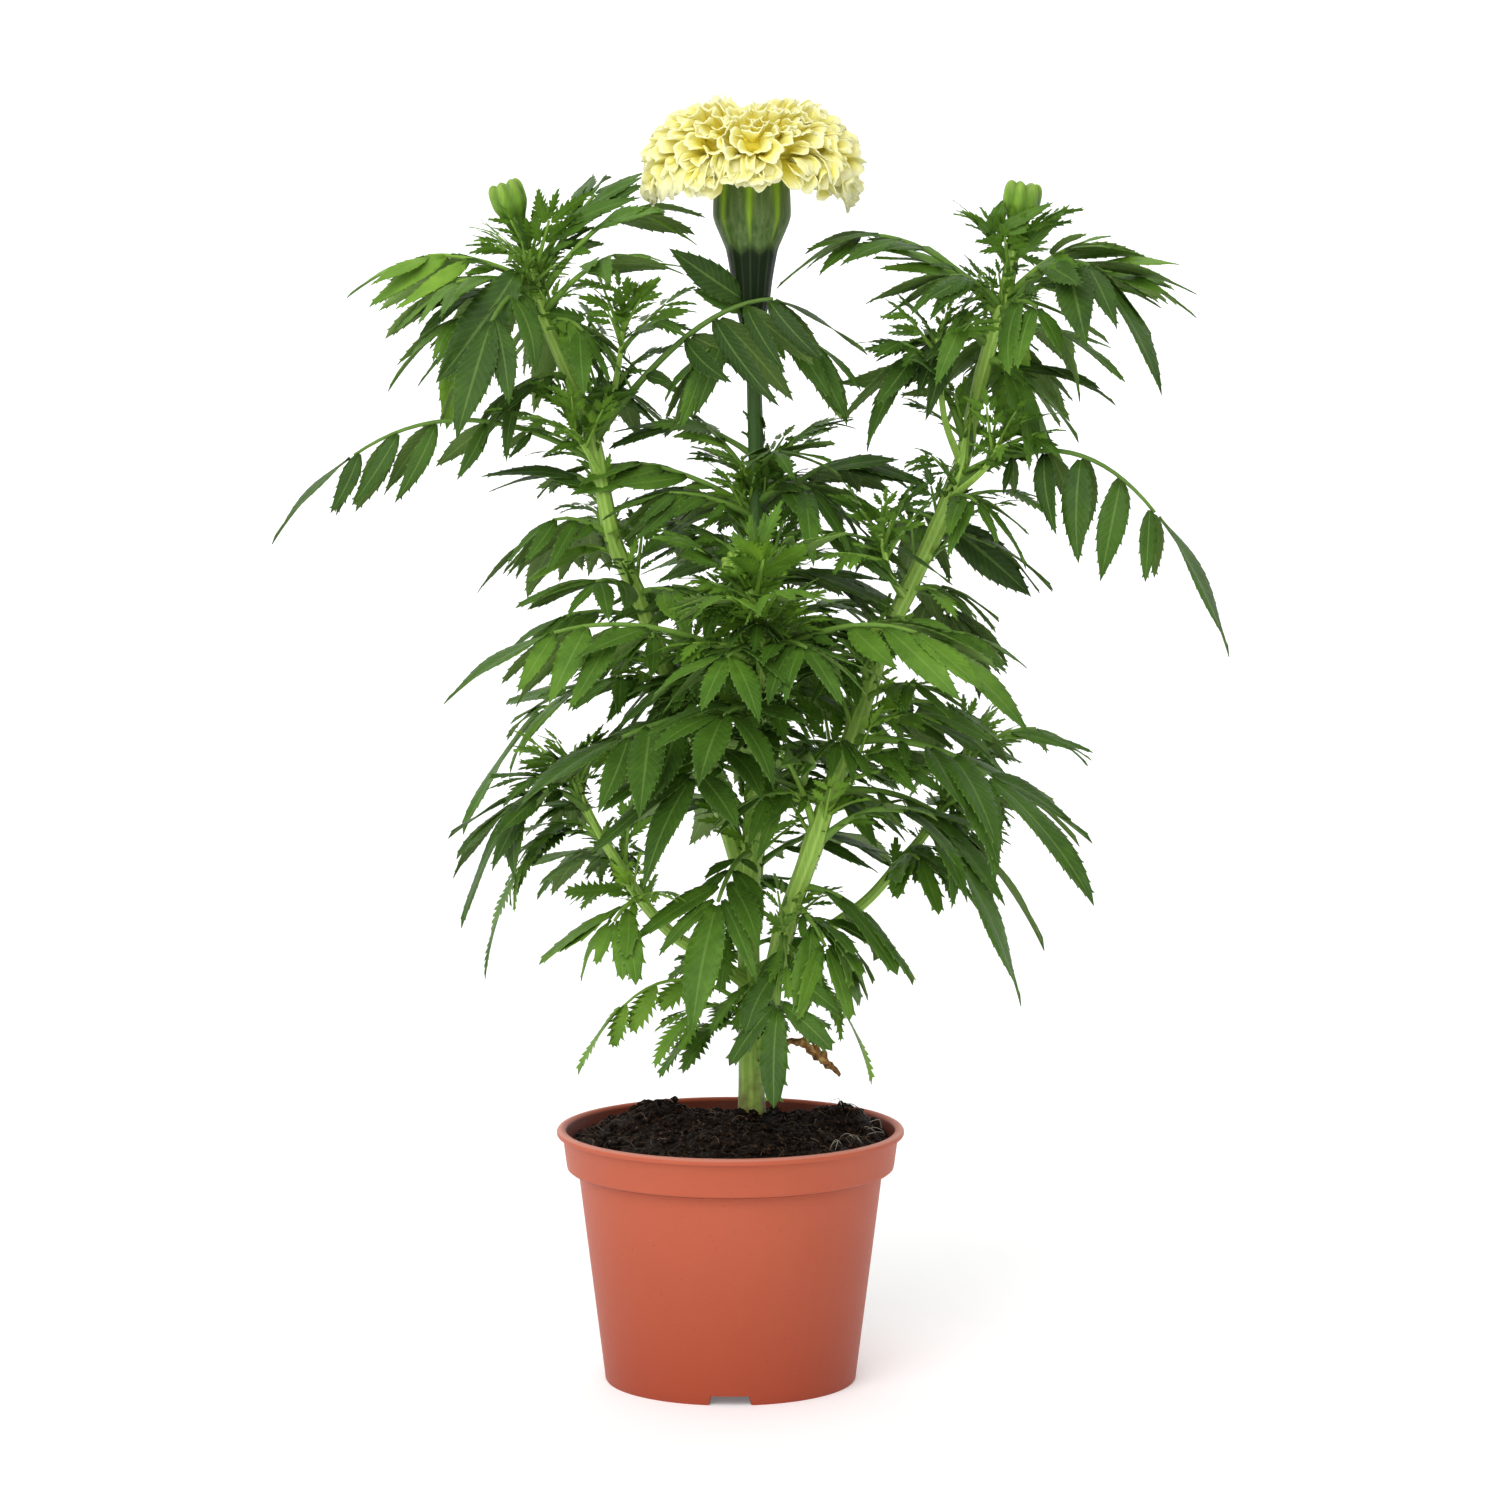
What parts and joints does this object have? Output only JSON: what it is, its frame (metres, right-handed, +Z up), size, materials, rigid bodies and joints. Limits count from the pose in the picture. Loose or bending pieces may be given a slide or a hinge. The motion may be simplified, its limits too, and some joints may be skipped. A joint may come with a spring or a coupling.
{
  "type": "potted african marigold",
  "caption": "Potted African marigold: branched plant with cut leaves, a cream pompon bloom and closed buds, standing in peat in a terracotta-coloured nursery pot.",
  "frame": {"origin": "on the floor under the middle of the plant's outline seen from above, in the plane of the pot's foot", "axes": "+Z up the stem, -Y towards the side that the picture shows, +X to the right in it"},
  "size_m": [0.351, 0.227, 0.48],
  "materials": {
    "pot_plastic": "terracotta-coloured moulded plastic with a soft sheen",
    "peat": "moist dark peat with fibres",
    "leaf_green": "satin leaf, lighter below and on young leaves and stems",
    "calyx_green": "smooth ribbed green cup with yellow-green stripes",
    "petal_cream": "soft cream-yellow florets",
    "bud_green": "smooth ribbed light green",
    "dry_leaf": "dry brown and papery"
  },
  "bodies": {
    "root": {"pot": "pot_plastic", "soil": "peat", "main_stem": "leaf_green", "right_branch": "leaf_green", "left_branch": "leaf_green", "front_branch": "leaf_green", "lower_left_branch": "leaf_green", "lower_right_branch": "leaf_green", "back_branch": "leaf_green", "calyx": "calyx_green", "petals": "petal_cream", "left_bud": "bud_green", "right_bud": "bud_green", "front_bud": "bud_green", "withered_leaf": "dry_leaf"}
  },
  "joints": []
}
